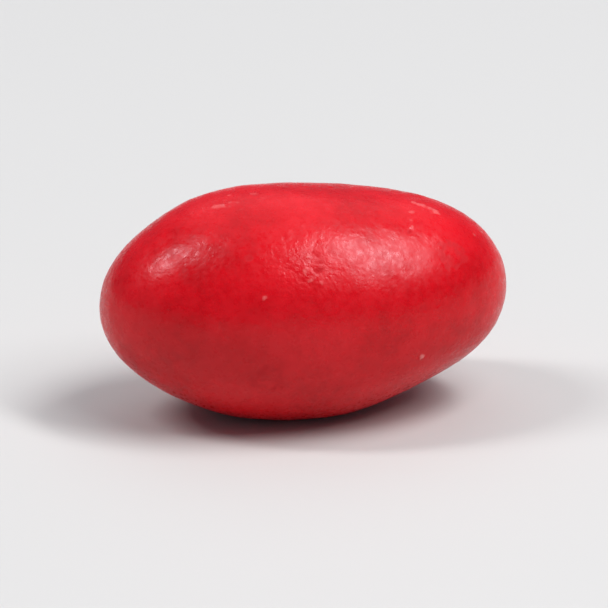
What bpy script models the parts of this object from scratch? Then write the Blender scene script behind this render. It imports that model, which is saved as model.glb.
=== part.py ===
"""A candy-coated peanut: one sugar-panned sweet, lying on its side.

Metres, +Z up. The origin is on the surface that the sweet lies on, under the middle of its bounding box.
+X runs along the sweet towards its blunter end, and -Y is its front.
Nothing of the nut shows, so the sweet is one solid: an ovoid as the pan leaves it, never quite round.
"""

import math

import bmesh
import bpy
from mathutils import Vector, noise

MM = 0.001

# Driving dimensions of the finished sweet
LENGTH = 18.3 * MM  # tip to tip
WIDTH = 11.2 * MM  # front to back
HEIGHT = 10.3 * MM  # from what it lies on to its top

# The ovoid
SQUARENESS = 2.07  # 2 is a plain ellipsoid, and more fills out its shoulders
TAPER = 0.018  # how much slimmer the left end is than the middle, and the right end stouter

# Where sugar built up thick or thin, as soft swells and flats.
# along: -1 is the left tip and +1 the right tip. around: degrees from the front, over the top.
# rise: how far the swell stands out, or a flat lies in. reach: the radius at which it has mostly faded.
SWELLS = (
    {"along": 0.26, "around": 98, "rise": -0.37 * MM, "reach": 3.7 * MM},  # flat along the top
    {"along": -0.42, "around": 96, "rise": 0.25 * MM, "reach": 2.6 * MM},  # shoulder at the upper left
    {"along": 0.60, "around": 292, "rise": -0.47 * MM, "reach": 3.5 * MM},  # cut away under the right end
    {"along": -0.80, "around": 300, "rise": -0.24 * MM, "reach": 3.0 * MM},  # and a little under the left
    {"along": 0.94, "around": 60, "rise": 0.20 * MM, "reach": 2.4 * MM},  # full right tip
    {"along": 0.34, "around": 38, "rise": -0.16 * MM, "reach": 2.6 * MM},  # flat that catches the light
    {"along": -0.12, "around": 12, "rise": 0.12 * MM, "reach": 3.6 * MM},  # full belly at the front
    {"along": -0.30, "around": 165, "rise": -0.24 * MM, "reach": 3.6 * MM},  # long flat at the back
    {"along": 0.48, "around": 195, "rise": 0.20 * MM, "reach": 3.0 * MM},  # swell behind the blunt end
)

# The slight unevenness between them
WAVE_LENGTH = 4.2 * MM
WAVE_HEIGHT = 0.07 * MM
WAVE_OFFSET = Vector((3.7, 1.3, 8.1))  # the stretch of noise that this sweet has

# The flat that it rests on
PRESSED_DEPTH = 0.22 * MM  # how much lower the round underside would have reached
FACING_DOWN = math.cos(math.radians(35))  # only what faces down this nearly can be what it rests on

SPHERE_DIVISIONS = 5  # 5120 triangles
SHELL_RED = (0.584, 0.008, 0.012, 1.0)
SHELL_ROUGHNESS = 0.34


def clear_scene():
    for leftover in list(bpy.data.objects):
        bpy.data.objects.remove(leftover)


def sugar_shell():
    """Coloured sugar syrup, dried in thin coats and polished with wax."""
    material = bpy.data.materials.new("sugar_shell")
    material.use_nodes = True
    shader = material.node_tree.nodes["Principled BSDF"]
    shader.inputs["Base Color"].default_value = SHELL_RED
    shader.inputs["Roughness"].default_value = SHELL_ROUGHNESS
    shader.inputs["Metallic"].default_value = 0.0
    return material


def ovoid_point(direction):
    """The plain ovoid's surface where a unit direction from its middle leaves it."""
    fullness = sum(abs(part) ** SQUARENESS for part in direction) ** (-1 / SQUARENESS)
    x, y, z = direction * fullness
    girth = 1 + TAPER * x
    return Vector((x * LENGTH / 2, y * girth * WIDTH / 2, z * girth * HEIGHT / 2))


def swell_direction(swell):
    along, around = swell["along"], math.radians(swell["around"])
    side = math.sqrt(1 - along * along)
    return Vector((along, -side * math.cos(around), side * math.sin(around)))


def swollen(direction, centres):
    """The ovoid's point with every swell, flat and wave added to it."""
    point = ovoid_point(direction)
    rise = WAVE_HEIGHT * noise.noise(point / WAVE_LENGTH + WAVE_OFFSET)
    for swell, centre in zip(SWELLS, centres):
        away = (point - centre).length / swell["reach"]
        rise += swell["rise"] * math.exp(-away * away)
    outward = Vector((point.x / LENGTH**2, point.y / WIDTH**2, point.z / HEIGHT**2)).normalized()
    return point + outward * rise


def centre_of_mass(mesh):
    """Of the closed mesh, as a sum over the tetrahedra from the middle to each triangle."""
    volume, moment = 0.0, Vector()
    for face in mesh.faces:
        a, b, c = (vert.co for vert in face.verts)
        share = a.dot(b.cross(c)) / 6
        volume += share
        moment += share * (a + b + c) / 4
    return moment / volume


def roll_to_rest(mesh):
    """A loose sweet rolls until it stands on the spot of its underside that is nearest its centre of mass."""
    middle = centre_of_mass(mesh)
    spokes = [vert.co - middle for vert in mesh.verts]
    underside = [spoke for spoke in spokes if -spoke.normalized().z > FACING_DOWN]
    nearest = min(underside, key=lambda spoke: spoke.length)
    turn = nearest.rotation_difference(Vector((0, 0, -1)))
    for vert, spoke in zip(mesh.verts, spokes):
        vert.co = turn @ spoke


def press_flat(mesh):
    """Levels the lowest part of the underside."""
    level = min(vert.co.z for vert in mesh.verts) + PRESSED_DEPTH
    for vert in mesh.verts:
        vert.co.z = max(vert.co.z, level)


def fit_to_size(mesh):
    """Brings the sweet to its driving dimensions, over the origin and on z = 0."""
    sizes = (LENGTH, WIDTH, HEIGHT)
    lowest = [min(vert.co[axis] for vert in mesh.verts) for axis in range(3)]
    highest = [max(vert.co[axis] for vert in mesh.verts) for axis in range(3)]
    under = ((lowest[0] + highest[0]) / 2, (lowest[1] + highest[1]) / 2, lowest[2])
    for vert in mesh.verts:
        for axis in range(3):
            stretch = sizes[axis] / (highest[axis] - lowest[axis])
            vert.co[axis] = (vert.co[axis] - under[axis]) * stretch


def coated_peanut():
    shape = bmesh.new()
    bmesh.ops.create_icosphere(shape, subdivisions=SPHERE_DIVISIONS, radius=1)
    centres = [ovoid_point(swell_direction(swell)) for swell in SWELLS]
    for vert in shape.verts:
        vert.co = swollen(vert.co.normalized(), centres)
    roll_to_rest(shape)
    press_flat(shape)
    fit_to_size(shape)
    mesh = bpy.data.meshes.new("coated_peanut")
    shape.to_mesh(mesh)
    shape.free()
    mesh.shade_smooth()
    mesh.materials.append(sugar_shell())
    sweet = bpy.data.objects.new("coated_peanut", mesh)
    bpy.context.scene.collection.objects.link(sweet)
    return sweet


clear_scene()
coated_peanut()
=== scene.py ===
import math

import bpy
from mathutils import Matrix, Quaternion, Vector


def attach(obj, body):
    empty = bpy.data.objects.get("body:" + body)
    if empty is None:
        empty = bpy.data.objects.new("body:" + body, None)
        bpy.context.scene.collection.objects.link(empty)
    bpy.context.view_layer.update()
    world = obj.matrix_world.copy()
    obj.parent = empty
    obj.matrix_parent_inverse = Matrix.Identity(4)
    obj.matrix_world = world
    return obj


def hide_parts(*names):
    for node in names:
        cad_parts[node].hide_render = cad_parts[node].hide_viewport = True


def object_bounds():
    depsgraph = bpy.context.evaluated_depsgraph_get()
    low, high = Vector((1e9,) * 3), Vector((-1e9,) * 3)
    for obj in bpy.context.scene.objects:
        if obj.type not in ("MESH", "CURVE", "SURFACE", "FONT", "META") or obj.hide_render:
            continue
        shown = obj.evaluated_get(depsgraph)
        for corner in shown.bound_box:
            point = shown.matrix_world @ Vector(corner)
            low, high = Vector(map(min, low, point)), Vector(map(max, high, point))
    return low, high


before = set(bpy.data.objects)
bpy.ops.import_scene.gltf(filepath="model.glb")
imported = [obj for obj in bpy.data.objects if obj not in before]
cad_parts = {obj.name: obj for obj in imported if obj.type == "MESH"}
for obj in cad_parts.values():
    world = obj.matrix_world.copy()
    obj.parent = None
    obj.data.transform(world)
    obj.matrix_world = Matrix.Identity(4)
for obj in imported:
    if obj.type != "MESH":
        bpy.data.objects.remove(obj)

cadLow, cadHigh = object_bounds()
print("frame loaded, box", [round(side * 1000, 1) for side in cadHigh - cadLow], "mm")

mm = 0.001
middle = (cadLow + cadHigh) / 2


def addNode(tree, kind, sockets=None, **settings):
    # sockets: an input's name or number, with either a value or another node's output
    node = tree.nodes.new(kind)
    for name, value in settings.items():
        setattr(node, name, value)
    for socket, value in (sockets or {}).items():
        if isinstance(value, bpy.types.NodeSocket):
            tree.links.new(value, node.inputs[socket])
        else:
            node.inputs[socket].default_value = value
    return node


def linear(hexColour):
    # sRGB hex to the linear values that the shaders work in
    parts = [int(hexColour[i:i + 2], 16) / 255 for i in (1, 3, 5)]
    return tuple(p / 12.92 if p <= 0.04045 else ((p + 0.055) / 1.055) ** 2.4 for p in parts) + (1.0,)


def towards(azimuth, elevation):
    # unit vector from the sweet; azimuth 0 is its front (-Y) and 90 its right end (+X)
    a, e = math.radians(azimuth), math.radians(elevation)
    return Vector((math.sin(a) * math.cos(e), -math.cos(a) * math.cos(e), math.sin(e)))


# Camera: the photo looks a little down on the sweet, with its right end turned slightly away

camera = {
    "azimuth": -12,
    "elevation": 20,
    "distance": 480 * mm,
    "frameWidth": 27 * mm,  # how much of the scene the picture's width takes in, at the sweet
    "lookAtLift": -0.3 * mm,
    "seesFrom": 10 * mm,
    "seesTo": 3.0,
}


def makeCamera():
    back = towards(camera["azimuth"], camera["elevation"])
    lens = bpy.data.cameras.new("camera")
    lens.lens = lens.sensor_width * camera["distance"] / camera["frameWidth"]
    lens.clip_start, lens.clip_end = camera["seesFrom"], camera["seesTo"]
    eye = bpy.data.objects.new("camera", lens)
    bpy.context.scene.collection.objects.link(eye)
    target = middle + Vector((0, 0, camera["lookAtLift"]))
    eye.location = target + back * camera["distance"]
    eye.rotation_mode = "QUATERNION"
    eye.rotation_quaternion = (-back).to_track_quat("-Z", "Y")
    bpy.context.scene.camera = eye


makeCamera()
print("camera placed")


# Noise lies on a grid, so its space is turned to keep the grid out of line with the sweet
noiseTurn = (0.6, 0.4, 0.9)

nearlyAllNoise = (0.3, 0.7)  # the range that nearly all of a noise's values lie in
mostNoise = (0.35, 0.65)  # and that most of them lie in

# What the photo shows on the sweet, by where it lies in that view: across and up from the middle of the
# CAD box. rise is how far a mark's middle stands out, and edge how far the ring round it does.

seenMarks = (
    # two shallow pits to the right of the slot
    {"across": 1.22 * mm, "up": 1.22 * mm, "reach": 0.24 * mm, "rise": -0.010 * mm},
    {"across": 1.20 * mm, "up": 1.98 * mm, "reach": 0.24 * mm, "rise": -0.010 * mm},
    # pale flecks round its left and lower side, painted pale as wear and in part as a highlight
    {"across": 0.14 * mm, "up": 1.78 * mm, "reach": 0.18 * mm, "rise": 0.018 * mm},
    {"across": 0.04 * mm, "up": 1.16 * mm, "reach": 0.27 * mm, "rise": 0.023 * mm},
    {"across": 0.36 * mm, "up": 0.80 * mm, "reach": 0.26 * mm, "rise": 0.023 * mm},
    {"across": 0.84 * mm, "up": 0.68 * mm, "reach": 0.24 * mm, "rise": 0.022 * mm},
    # two specks on the belly, painted pale as wear and in part as a highlight
    {"across": -1.75 * mm, "up": -0.08 * mm, "reach": 0.20 * mm, "rise": 0.021 * mm, "edge": -0.004 * mm},
    {"across": 5.20 * mm, "up": -2.62 * mm, "reach": 0.18 * mm, "rise": 0.036 * mm, "edge": -0.004 * mm},
    # a worn spot near each of the two streaks, painted pale in part as a highlight
    {"across": 4.72 * mm, "up": 3.82 * mm, "reach": 0.24 * mm, "rise": 0.016 * mm},
    {"across": -2.25 * mm, "up": 4.62 * mm, "reach": 0.34 * mm, "rise": 0.013 * mm},
)

# Rows of such marks that run into each other: an upright slot, and a pale worn streak near the top at each
# end, painted pale in part as a highlight
seenRows = (
    {"start": (0.58 * mm, 1.86 * mm), "end": (0.68 * mm, 1.26 * mm), "count": 3, "reach": 0.28 * mm,
     "rise": -0.0145 * mm},
    {"start": (4.86 * mm, 4.19 * mm), "end": (5.74 * mm, 3.80 * mm), "count": 5, "reach": 0.40 * mm,
     "rise": 0.0195 * mm},
    {"start": (-3.80 * mm, 4.01 * mm), "end": (-2.97 * mm, 4.16 * mm), "count": 4, "reach": 0.37 * mm,
     "rise": 0.0165 * mm},
)

# Stretches where the peel is coarser or smoother than the rest: rise is how much, as a share of it
seenPatches = (
    {"across": -0.10 * mm, "up": 1.35 * mm, "reach": 2.0 * mm, "rise": 1.8},
    {"across": 5.20 * mm, "up": 1.70 * mm, "reach": 1.9 * mm, "rise": -0.6},
    {"across": -6.10 * mm, "up": -2.60 * mm, "reach": 3.2 * mm, "rise": -0.5},
    {"across": 3.50 * mm, "up": -3.80 * mm, "reach": 3.0 * mm, "rise": -0.4},
)

markSizes = ("reach", "rise", "edge")  # attributes that each mark's point carries


def marksInRow(row):
    (left, top), (right, bottom) = row["start"], row["end"]
    marks = []
    for step in range(row["count"]):
        share = step / (row["count"] - 1)
        marks.append({"across": left + (right - left) * share, "up": top + (bottom - top) * share,
                      "reach": row["reach"], "rise": row["rise"]})
    return marks


def placeSeen(name, marks):
    # a point on the solid for each mark, found along the line of sight, with its sizes as attributes
    back = towards(camera["azimuth"], camera["elevation"])
    right = Vector((0, 0, 1)).cross(back).normalized()
    up = back.cross(right)
    wellOutside = 50 * mm
    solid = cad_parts["coated_peanut"]
    places = []
    for mark in marks:
        start = middle + right * mark["across"] + up * mark["up"] + back * wellOutside
        places.append(solid.ray_cast(start, -back)[1])
    mesh = bpy.data.meshes.new(name)
    mesh.from_pydata(places, [], [])
    for size in markSizes:
        attribute = mesh.attributes.new(size, "FLOAT", "POINT")
        for stored, mark in zip(attribute.data, marks):
            stored.value = mark.get(size, 0.0)
    points = bpy.data.objects.new(name, mesh)
    bpy.context.scene.collection.objects.link(points)
    return points


# The sugar shell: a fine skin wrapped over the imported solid, with the relief that panning leaves on it.
# Each name is an input of the Geometry Nodes tree below.

shell = {
    "Points Round": 108,  # mesh points along a quarter of the way round
    "Points Along": 172,  # and along the sweet, which is longer than it is thick
    "Smoothing": 2,  # times that the solid's facets are divided and rounded first
    "Swell Length": 3.6 * mm,  # broad unevenness, as coats build up thick and thin
    "Swell Height": 0.09 * mm,
    "Tumble Length": 1.0 * mm,  # soft flats, as the pan's tumbling rubs them
    "Tumble Height": 0.055 * mm,
    "Peel Length": 0.42 * mm,  # the syrup's orange peel
    "Peel Height": 0.014 * mm,
    "Patch Length": 2.4 * mm,  # how far apart the peel gets coarser and smoother
    "Patch Low": 0.75,  # its share in smooth patches
    "Patch High": 1.25,  # and in coarse ones
    "Patch Least": 0.1,  # the share that is left where the photo shows the smoothest
    "Calm Height": 0.30 * mm,  # the relief fades out below this, so that the flat spot stays flat
    "Seed": 5.4,
}
finerWaves = {"Swell": 0.0, "Tumble": 1.0, "Peel": 0.4}  # octaves of finer noise that each of them carries

# Marks spread at random: how many on each square centimetre, and their sizes
spreadMarks = {
    "pimples": {"perSquareCm": 9, "reach": (0.13 * mm, 0.24 * mm), "rise": (0.008 * mm, 0.024 * mm),
                "edge": (-0.003 * mm, 0.0), "seed": 87},
    "pits": {"perSquareCm": 5, "reach": (0.16 * mm, 0.36 * mm), "rise": (-0.014 * mm, -0.005 * mm),
             "edge": (0.0, 0.003 * mm), "seed": 8},
    "burstBubbles": {"perSquareCm": 1.6, "reach": (0.30 * mm, 0.55 * mm), "rise": (-0.004 * mm, 0.006 * mm),
                     "edge": (-0.009 * mm, -0.004 * mm), "seed": 5},
}
middleWidth = 0.6  # of a mark's rise or pit, in its reach
ringWidth = 0.36  # and of the ring round it
unevenMarks = {"length": 0.35 * mm, "by": 0.5}  # how far a mark's outline wanders, in its reach


def addWaves(tree, spot, length, height, seed, detail):
    # noise of that wavelength, half above and half below the surface
    scaled = addNode(tree, "ShaderNodeVectorMath", {0: spot}, operation="SCALE")
    inverse = addNode(tree, "ShaderNodeMath", {0: 1.0, 1: length}, operation="DIVIDE")
    tree.links.new(inverse.outputs[0], scaled.inputs["Scale"])
    noise = addNode(tree, "ShaderNodeTexNoise", {"Vector": scaled.outputs[0], "W": seed, "Scale": 1.0,
                    "Detail": detail}, noise_dimensions="4D")
    centred = addNode(tree, "ShaderNodeMath", {0: noise.outputs["Fac"], 1: 0.5}, operation="SUBTRACT")
    waves = addNode(tree, "ShaderNodeMath", {0: centred.outputs[0], 1: height}, operation="MULTIPLY")
    return waves.outputs[0]


def addBell(tree, t, centre, width, height):
    # height * exp(-((t - centre) / width)^2)
    moved = addNode(tree, "ShaderNodeMath", {0: t, 1: centre}, operation="SUBTRACT").outputs[0]
    narrow = addNode(tree, "ShaderNodeMath", {0: moved, 1: width}, operation="DIVIDE").outputs[0]
    square = addNode(tree, "ShaderNodeMath", {0: narrow, 1: narrow}, operation="MULTIPLY").outputs[0]
    negative = addNode(tree, "ShaderNodeMath", {0: square, 1: -1.0}, operation="MULTIPLY").outputs[0]
    bell = addNode(tree, "ShaderNodeMath", {0: negative}, operation="EXPONENT").outputs[0]
    return addNode(tree, "ShaderNodeMath", {0: bell, 1: height}, operation="MULTIPLY").outputs[0]


def addMarks(tree, points, spot):
    # the relief of the nearest point's mark: an uneven rise or pit, and a ring round it
    nearest = addNode(tree, "GeometryNodeSampleNearest", {"Geometry": points, "Sample Position": spot})
    noise = addNode(tree, "ShaderNodeTexNoise", {"Vector": spot, "Scale": 1 / unevenMarks["length"],
                    "Detail": 1.0})
    uneven = addNode(tree, "ShaderNodeMapRange", {"Value": noise.outputs["Fac"],
                     "From Min": nearlyAllNoise[0], "From Max": nearlyAllNoise[1],
                     "To Min": -unevenMarks["by"], "To Max": unevenMarks["by"]})
    place = addNode(tree, "GeometryNodeInputPosition")
    sampled = {}
    for size in markSizes:
        stored = addNode(tree, "GeometryNodeInputNamedAttribute", {"Name": size}, data_type="FLOAT")
        sample = addNode(tree, "GeometryNodeSampleIndex", {"Geometry": points, "Index": nearest.outputs[0],
                         "Value": stored.outputs["Attribute"]})
        sampled[size] = sample.outputs[0]
    centre = addNode(tree, "GeometryNodeSampleIndex", {"Geometry": points, "Value": place.outputs[0],
                     "Index": nearest.outputs[0]}, data_type="FLOAT_VECTOR")
    away = addNode(tree, "ShaderNodeVectorMath", {0: spot, 1: centre.outputs[0]}, operation="DISTANCE")
    far = addNode(tree, "ShaderNodeMath", {0: away.outputs["Value"], 1: sampled["reach"]},
                  operation="DIVIDE")
    t = addNode(tree, "ShaderNodeMath", {0: far.outputs[0], 1: uneven.outputs[0]}, operation="ADD")
    rise = addBell(tree, t.outputs[0], 0.0, middleWidth, sampled["rise"])
    ring = addBell(tree, t.outputs[0], 1.0, ringWidth, sampled["edge"])
    return addNode(tree, "ShaderNodeMath", {0: rise, 1: ring}, operation="ADD").outputs[0]


def spreadPoints(tree, skin, kind):
    # points at random over the skin, with random sizes stored on them
    marks = spreadMarks[kind]
    perSquareMetre = marks["perSquareCm"] * 1e4
    points = addNode(tree, "GeometryNodeDistributePointsOnFaces", {"Mesh": skin, "Density": perSquareMetre,
                     "Seed": marks["seed"]}).outputs["Points"]
    for offset, size in enumerate(markSizes):
        low, high = marks[size]
        random = addNode(tree, "FunctionNodeRandomValue", {2: low, 3: high, "Seed": marks["seed"] + offset},
                         data_type="FLOAT")
        points = addNode(tree, "GeometryNodeStoreNamedAttribute", {"Geometry": points, "Name": size,
                         "Value": random.outputs[1]}, data_type="FLOAT", domain="POINT").outputs[0]
    return points


def seenPoints(tree, objectInput):
    seen = addNode(tree, "GeometryNodeObjectInfo", {"Object": objectInput})
    return addNode(tree, "GeometryNodeMeshToPoints", {"Mesh": seen.outputs["Geometry"]}).outputs[0]


def addCoarseness(tree, spot, inputs, patches):
    # how strong the peel is from place to place
    scale = addNode(tree, "ShaderNodeMath", {0: 1.0, 1: inputs["Patch Length"]}, operation="DIVIDE")
    noise = addNode(tree, "ShaderNodeTexNoise", {"Vector": spot, "Scale": scale.outputs[0], "Detail": 1.0,
                    "W": inputs["Seed"]}, noise_dimensions="4D")
    spread = addNode(tree, "ShaderNodeMapRange", {"Value": noise.outputs["Fac"],
                     "From Min": mostNoise[0], "From Max": mostNoise[1],
                     "To Min": inputs["Patch Low"], "To Max": inputs["Patch High"]})
    total = addNode(tree, "ShaderNodeMath", {0: spread.outputs[0], 1: patches}, operation="ADD")
    return addNode(tree, "ShaderNodeMath", {0: total.outputs[0], 1: inputs["Patch Least"]},
                   operation="MAXIMUM").outputs[0]


def wrapSkin(tree, solid, inputs):
    # an even net of points, drawn onto the smoothed solid along rays from its middle
    net = addNode(tree, "GeometryNodeMeshCube", {"Size": (2, 2, 2), "Vertices X": inputs["Points Along"],
                  "Vertices Y": inputs["Points Round"], "Vertices Z": inputs["Points Round"]})
    place = addNode(tree, "GeometryNodeInputPosition")
    angle = addNode(tree, "ShaderNodeVectorMath", {0: place.outputs[0], "Scale": math.pi / 4},
                    operation="SCALE")
    even = addNode(tree, "ShaderNodeVectorMath", {0: angle.outputs[0]}, operation="TANGENT")
    unit = addNode(tree, "ShaderNodeVectorMath", {0: even.outputs[0]}, operation="NORMALIZE")
    stretched = addNode(tree, "ShaderNodeVectorMath", {0: unit.outputs[0], 1: (cadHigh - cadLow) / 2},
                        operation="MULTIPLY")
    joinedWithin = 0.001 * mm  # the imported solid's triangles are loose, so their corners are joined first
    merged = addNode(tree, "GeometryNodeMergeByDistance", {"Geometry": solid, "Distance": joinedWithin})
    smooth = addNode(tree, "GeometryNodeSubdivisionSurface", {"Mesh": merged.outputs[0],
                     "Level": inputs["Smoothing"]})
    heart = addNode(tree, "FunctionNodeInputVector", vector=middle)
    ray = addNode(tree, "GeometryNodeRaycast", {"Target Geometry": smooth.outputs[0], "Source Position":
                  heart.outputs[0], "Ray Direction": stretched.outputs[0], "Ray Length": 1.0})
    return addNode(tree, "GeometryNodeSetPosition", {"Geometry": net.outputs["Mesh"],
                   "Position": ray.outputs["Hit Position"]}).outputs[0]


def makeShellTree():
    tree = bpy.data.node_groups.new("panned shell", "GeometryNodeTree")
    tree.interface.new_socket("Geometry", in_out="INPUT", socket_type="NodeSocketGeometry")
    tree.interface.new_socket("Geometry", in_out="OUTPUT", socket_type="NodeSocketGeometry")
    tree.interface.new_socket("Seen Marks", in_out="INPUT", socket_type="NodeSocketObject")
    tree.interface.new_socket("Seen Patches", in_out="INPUT", socket_type="NodeSocketObject")
    tree.interface.new_socket("Material", in_out="INPUT", socket_type="NodeSocketMaterial")
    for name, value in shell.items():
        kind = "NodeSocketInt" if isinstance(value, int) else "NodeSocketFloat"
        tree.interface.new_socket(name, in_out="INPUT", socket_type=kind)
    inputs = addNode(tree, "NodeGroupInput").outputs
    skin = wrapSkin(tree, inputs["Geometry"], inputs)

    spot = addNode(tree, "GeometryNodeInputPosition").outputs[0]
    turned = addNode(tree, "ShaderNodeVectorRotate", {"Vector": spot, "Rotation": noiseTurn},
                     rotation_type="EULER_XYZ").outputs[0]
    marks = addMarks(tree, seenPoints(tree, inputs["Seen Marks"]), spot)
    for kind in spreadMarks:
        more = addMarks(tree, spreadPoints(tree, skin, kind), spot)
        marks = addNode(tree, "ShaderNodeMath", {0: marks, 1: more}, operation="ADD").outputs[0]
    patches = addMarks(tree, seenPoints(tree, inputs["Seen Patches"]), spot)
    coarse = addCoarseness(tree, turned, inputs, patches)
    relief = marks
    for name, detail in finerWaves.items():
        waves = addWaves(tree, turned, inputs[name + " Length"], inputs[name + " Height"], inputs["Seed"],
                         detail)
        share = coarse if name == "Peel" else 1.0
        relief = addNode(tree, "ShaderNodeMath", {0: waves, 1: share, 2: relief},
                         operation="MULTIPLY_ADD").outputs[0]

    height = addNode(tree, "ShaderNodeSeparateXYZ", {0: spot}).outputs["Z"]
    calm = addNode(tree, "ShaderNodeMapRange", {"Value": height, "From Max": inputs["Calm Height"]},
                   interpolation_type="SMOOTHSTEP")
    faded = addNode(tree, "ShaderNodeMath", {0: relief, 1: calm.outputs[0]}, operation="MULTIPLY")
    normal = addNode(tree, "GeometryNodeInputNormal")
    outward = addNode(tree, "ShaderNodeVectorMath", {0: normal.outputs[0], "Scale": faded.outputs[0]},
                      operation="SCALE")

    marked = addNode(tree, "GeometryNodeStoreNamedAttribute", {"Geometry": skin, "Name": "mark",
                     "Value": marks}, data_type="FLOAT", domain="POINT")
    grained = addNode(tree, "GeometryNodeStoreNamedAttribute", {"Geometry": marked.outputs[0],
                      "Name": "coarse", "Value": coarse}, data_type="FLOAT", domain="POINT")
    raised = addNode(tree, "GeometryNodeSetPosition", {"Geometry": grained.outputs[0],
                     "Offset": outward.outputs[0]})
    smooth = addNode(tree, "GeometryNodeSetShadeSmooth", {"Geometry": raised.outputs[0]})
    real = addNode(tree, "GeometryNodeRealizeInstances", {"Geometry": smooth.outputs[0]})
    coloured = addNode(tree, "GeometryNodeSetMaterial", {"Geometry": real.outputs[0],
                       "Material": inputs["Material"]})
    addNode(tree, "NodeGroupOutput", {0: coloured.outputs[0]})
    return tree


# Panned sugar: dyed syrup dried in thin coats, then tumbled with wax. It gives a deep red that clouds a
# little from place to place, with a satin sheen that breaks up into fine grain. Flecks that stand out are
# painted pale: partly wear, and partly a painted highlight for the glint they catch. The wax didn't reach
# into the pits, which stay matt.

sugarLooks = {
    "deepRed": "#bd0813",
    "red": "#d00a17",
    "brightRed": "#dc1520",
    "redsAt": (0.36, 0.5, 0.66),  # where those three lie in the noise
    "patchLength": 4.2 * mm,
    "mottleLength": 0.55 * mm,
    "mottleShare": 0.29,
    "pitRed": "#c40916",
    "pitDepths": (0.003 * mm, 0.012 * mm),  # where a pit starts to show, and where it shows in full
    # a fleck that stands out is painted pale: partly wear, partly a painted highlight for its glint
    "paleWearAndHighlightRed": "#f0908a",
    "paleWearAndHighlightHeights": (0.008 * mm, 0.03 * mm),  # the same for a fleck that stands out
    "paleWearAndHighlightShare": 0.7,
    "roughness": (0.23, 0.40),
    "frostLength": 0.30 * mm,  # of the patches where the wax is duller
    "frostDetail": 3.0,
    "pitRoughness": 0.45,  # how much rougher a pit is
    "grainLength": 0.20 * mm,  # sugar grain is finer, and is drawn as coarse as it needs to show
    "grainHeight": 0.017 * mm,
    "ior": 1.33,
    "glow": 0.10,  # light that goes a little way into the sugar
    "glowReach": 0.8 * mm,
    "glowByColour": (1.0, 0.12, 0.08),
}


def noiseAt(tree, spot, length, detail=2.0):
    return addNode(tree, "ShaderNodeTexNoise", {"Vector": spot, "Scale": 1 / length,
                   "Detail": detail}).outputs["Fac"]


def pannedSugarShell():
    material = bpy.data.materials.new("panned sugar shell")
    material.use_nodes = True
    tree = material.node_tree
    shader = tree.nodes["Principled BSDF"]
    look = sugarLooks
    place = addNode(tree, "ShaderNodeTexCoord").outputs["Object"]
    spot = addNode(tree, "ShaderNodeMapping", {"Vector": place, "Rotation": noiseTurn}).outputs[0]

    patches = noiseAt(tree, spot, look["patchLength"])
    mottle = noiseAt(tree, spot, look["mottleLength"])
    both = addNode(tree, "ShaderNodeMix", {0: look["mottleShare"], 2: patches, 3: mottle}, data_type="FLOAT")
    reds = addNode(tree, "ShaderNodeValToRGB", {0: both.outputs[0]})
    stops = reds.color_ramp.elements
    deepAt, redAt, brightAt = look["redsAt"]
    stops[0].position, stops[0].color = deepAt, linear(look["deepRed"])
    stops[1].position, stops[1].color = brightAt, linear(look["brightRed"])
    stops.new(redAt).color = linear(look["red"])

    mark = addNode(tree, "ShaderNodeAttribute", attribute_name="mark").outputs["Fac"]
    shallow, deep = look["pitDepths"]
    inPit = addNode(tree, "ShaderNodeMapRange", {"Value": mark, "From Min": -shallow, "From Max": -deep})
    pitted = addNode(tree, "ShaderNodeMix", {0: inPit.outputs[0], 6: reds.outputs[0],
                     7: linear(look["pitRed"])}, data_type="RGBA")
    # flecks that stand out are painted paler, as wear and as a painted highlight
    low, high = look["paleWearAndHighlightHeights"]
    onFleck = addNode(tree, "ShaderNodeMapRange", {"Value": mark, "From Min": low, "From Max": high,
                      "To Max": look["paleWearAndHighlightShare"]})
    fleckedPale = addNode(tree, "ShaderNodeMix", {0: onFleck.outputs[0], 6: pitted.outputs[2],
                     7: linear(look["paleWearAndHighlightRed"])}, data_type="RGBA")
    tree.links.new(fleckedPale.outputs[2], shader.inputs["Base Color"])

    frost = noiseAt(tree, spot, look["frostLength"], look["frostDetail"])
    satin, dull = look["roughness"]
    waxed = addNode(tree, "ShaderNodeMapRange", {"Value": frost, "From Min": mostNoise[0],
                    "From Max": mostNoise[1], "To Min": satin, "To Max": dull})
    matt = addNode(tree, "ShaderNodeMath", {0: inPit.outputs[0], 1: look["pitRoughness"],
                   2: waxed.outputs[0]}, operation="MULTIPLY_ADD")
    tree.links.new(matt.outputs[0], shader.inputs["Roughness"])

    grain = noiseAt(tree, spot, look["grainLength"])
    coarse = addNode(tree, "ShaderNodeAttribute", attribute_name="coarse").outputs["Fac"]
    depth = addNode(tree, "ShaderNodeMath", {0: coarse, 1: look["grainHeight"]}, operation="MULTIPLY")
    bump = addNode(tree, "ShaderNodeBump", {"Height": grain, "Strength": 1.0, "Distance": depth.outputs[0]})
    tree.links.new(bump.outputs[0], shader.inputs["Normal"])
    shader.inputs["IOR"].default_value = look["ior"]
    shader.inputs["Subsurface Weight"].default_value = look["glow"]
    shader.inputs["Subsurface Radius"].default_value = look["glowByColour"]
    shader.inputs["Subsurface Scale"].default_value = look["glowReach"]
    return material


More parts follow.
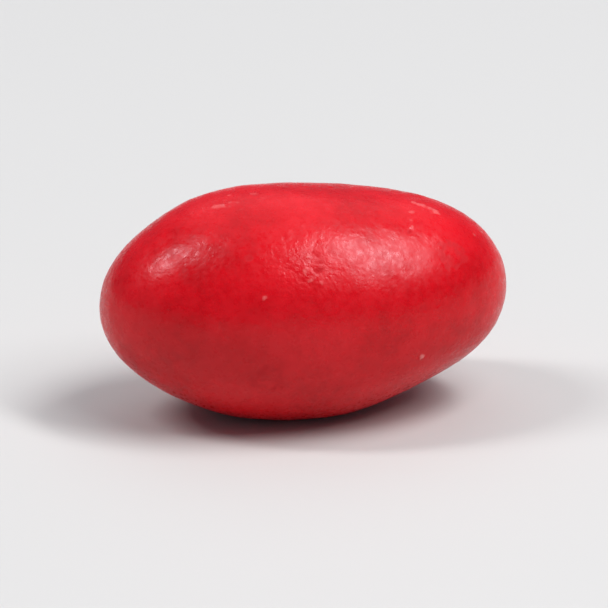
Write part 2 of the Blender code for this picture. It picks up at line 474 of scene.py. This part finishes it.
def makeSugarShell():
    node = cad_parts["coated_peanut"]
    piece = bpy.data.objects.new("sugar_shell", node.data.copy())
    bpy.context.scene.collection.objects.link(piece)
    rows = [mark for row in seenRows for mark in marksInRow(row)]
    marks = placeSeen("seenMarks", list(seenMarks) + rows)
    patches = placeSeen("seenPatches", seenPatches)
    modifier = piece.modifiers.new("panned shell", "NODES")
    modifier.node_group = makeShellTree()
    sockets = {item.name: item.identifier for item in modifier.node_group.interface.items_tree
               if item.in_out == "INPUT"}
    modifier[sockets["Seen Marks"]] = marks
    modifier[sockets["Seen Patches"]] = patches
    modifier[sockets["Material"]] = pannedSugarShell()
    for name, value in shell.items():
        modifier[sockets[name]] = value
    bpy.context.view_layer.update()
    made = piece.evaluated_get(bpy.context.evaluated_depsgraph_get())
    mesh = bpy.data.meshes.new_from_object(made)
    piece.modifiers.clear()
    piece.data = mesh
    bpy.data.objects.remove(marks)
    bpy.data.objects.remove(patches)
    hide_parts("coated_peanut")
    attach(piece, "root")
    print("sugar shell made,", len(mesh.vertices), "points")


makeSugarShell()


# Floor and lights: a plain pale table, with a narrow softbox at each side, a broad one at the front right,
# and a broad soft light from over the back

studio = {
    "floorColour": "#ced1c8",
    "floorRoughness": 0.7,
    "floorSize": 1.6,
    "lightColour": "#fbf6ff",  # a little cool, as the photo's highlights are
    "worldColour": "#dde4ff",
    "worldStrength": 0.18,
}

# azimuths are from the camera's side, positive to its right; roll lifts the side further round
lights = {
    "left softbox": {"azimuth": -89, "elevation": 51, "distance": 0.45, "size": (0.06, 0.20), "roll": 0,
                     "power": 0.85},
    "right softbox": {"azimuth": 74, "elevation": 55, "distance": 0.45, "size": (0.33, 0.082), "roll": 46,
                      "power": 1.42},
    "front softbox": {"azimuth": 56, "elevation": 65, "distance": 0.60, "size": (0.34, 0.22), "roll": 0,
                      "power": 1.20},
    "overhead": {"azimuth": 180, "elevation": 60, "distance": 0.7, "size": (0.6, 0.8), "roll": 0,
                 "power": 1.05},
}


def makeLights():
    for name, box in lights.items():
        lamp = bpy.data.lights.new(name, "AREA")
        lamp.shape = "RECTANGLE"
        lamp.size, lamp.size_y = box["size"]
        lamp.energy = box["power"]
        lamp.color = linear(studio["lightColour"])[:3]
        light = bpy.data.objects.new(name, lamp)
        bpy.context.scene.collection.objects.link(light)
        back = towards(camera["azimuth"] + box["azimuth"], box["elevation"])
        light.location = middle + back * box["distance"]
        light.rotation_mode = "QUATERNION"
        roll = Quaternion((0, 0, 1), math.radians(box["roll"]))
        light.rotation_quaternion = (-back).to_track_quat("-Z", "Y") @ roll
    world = bpy.data.worlds.new("studio")
    world.use_nodes = True
    background = world.node_tree.nodes["Background"]
    background.inputs["Color"].default_value = linear(studio["worldColour"])
    background.inputs["Strength"].default_value = studio["worldStrength"]
    bpy.context.scene.world = world


def makeFloor():
    half = studio["floorSize"] / 2
    corners = [(-half, -half, 0), (half, -half, 0), (half, half, 0), (-half, half, 0)]
    mesh = bpy.data.meshes.new("floor")
    mesh.from_pydata(corners, [], [(0, 1, 2, 3)])
    # matt board: broad soft reflections, so that only the shadows show on it
    material = bpy.data.materials.new("matt pale board")
    material.use_nodes = True
    shader = material.node_tree.nodes["Principled BSDF"]
    shader.inputs["Base Color"].default_value = linear(studio["floorColour"])
    shader.inputs["Roughness"].default_value = studio["floorRoughness"]
    mesh.materials.append(material)
    floor = bpy.data.objects.new("floor", mesh)
    bpy.context.scene.collection.objects.link(floor)


makeLights()
makeFloor()
bpy.context.scene.view_settings.view_transform = "Standard"
print("lights and floor placed")
